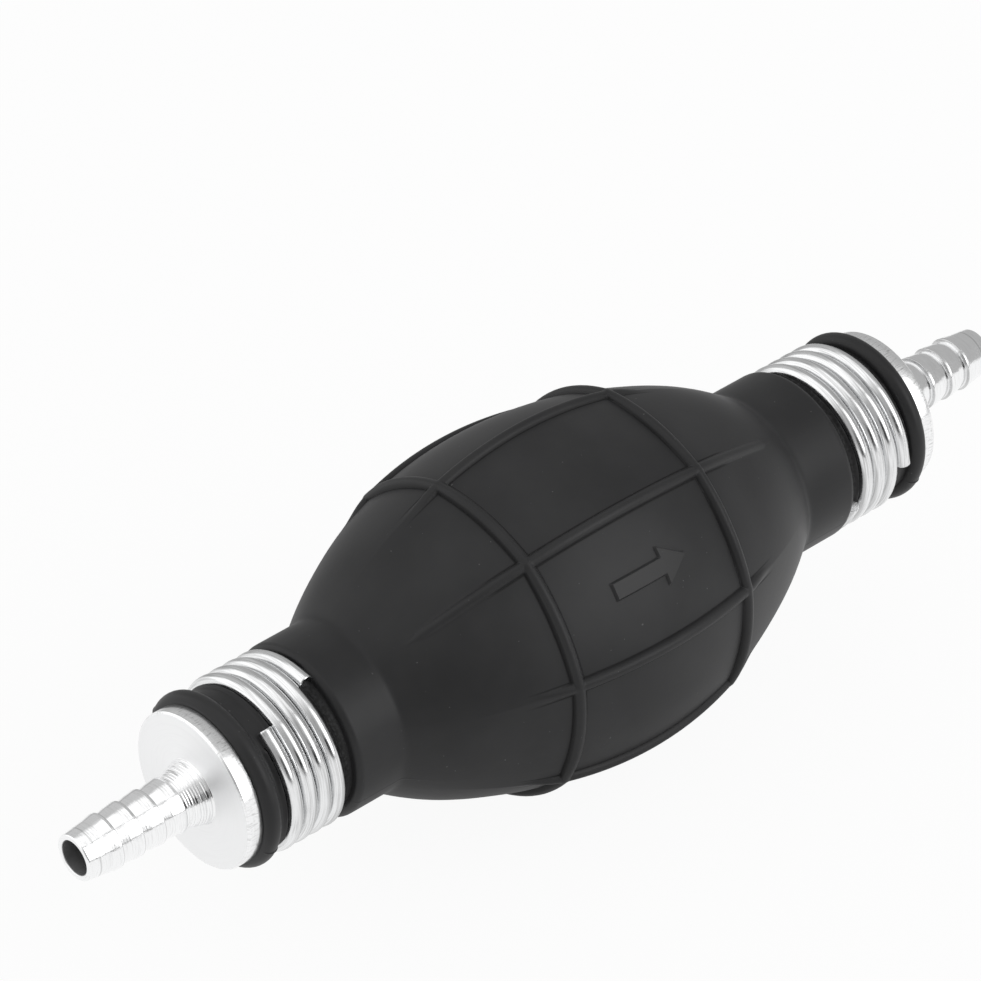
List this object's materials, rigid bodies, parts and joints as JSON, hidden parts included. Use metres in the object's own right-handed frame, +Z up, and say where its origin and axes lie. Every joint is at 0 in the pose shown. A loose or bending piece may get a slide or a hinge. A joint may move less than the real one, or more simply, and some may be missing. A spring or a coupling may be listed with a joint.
{
  "type": "siphon bulb pump",
  "caption": "In-line siphon pump: a ribbed rubber squeeze bulb between barbed aluminium hose tails, held on by wire spring clamps, with a check valve at each end.",
  "frame": {"origin": "centre of the bulb, on the pump's axis, half way between the tips of the two hose tails", "axes": "+X along the pump's axis in the direction of flow, from the inlet to the outlet; +Z up as the pump lies on a bench, with the flow arrow up and to the front (-Y)"},
  "size_m": [0.164, 0.0504, 0.0504],
  "materials": {
    "bulb_rubber": "matt moulded black rubber with a faint bloom",
    "turned_aluminium": "fine turned, bright",
    "spring_wire": "bright zinc-plated spring wire",
    "seat_brass": "turned",
    "nitrile": "smooth nitrile rubber",
    "valve_plastic": "moulded white acetal",
    "valve_spring_steel": "drawn stainless wire",
    "ring_steel": "oiled spring steel"
  },
  "bodies": {
    "pump": {"squeeze_bulb": "bulb_rubber", "inlet_hose_tail": "turned_aluminium", "inlet_wire_clamp": "spring_wire", "inlet_valve_seat": "seat_brass", "inlet_seat_oring": "nitrile", "inlet_valve_spring": "valve_spring_steel", "inlet_valve_cage": "valve_plastic", "inlet_snap_ring": "ring_steel", "outlet_hose_tail": "turned_aluminium", "outlet_wire_clamp": "spring_wire", "outlet_valve_seat": "seat_brass", "outlet_seat_oring": "nitrile", "outlet_valve_spring": "valve_spring_steel", "outlet_valve_cage": "valve_plastic", "outlet_snap_ring": "ring_steel"},
    "inlet_poppet": {"inlet_valve_poppet": "valve_plastic", "inlet_poppet_seal": "nitrile"},
    "outlet_poppet": {"outlet_valve_poppet": "valve_plastic", "outlet_poppet_seal": "nitrile"}
  },
  "joints": [
    {"name": "inlet_valve_lift", "type": "slide", "parent": "pump", "child": "inlet_poppet", "axis": [1, 0, 0], "range_m": [0, 0.0016], "stiffness_N_per_m": 30, "springref_m": -0.004, "deforming": ["inlet_valve_spring"]},
    {"name": "outlet_valve_lift", "type": "slide", "parent": "pump", "child": "outlet_poppet", "axis": [1, 0, 0], "range_m": [0, 0.0016], "stiffness_N_per_m": 30, "springref_m": -0.004, "deforming": ["outlet_valve_spring"]}
  ]
}
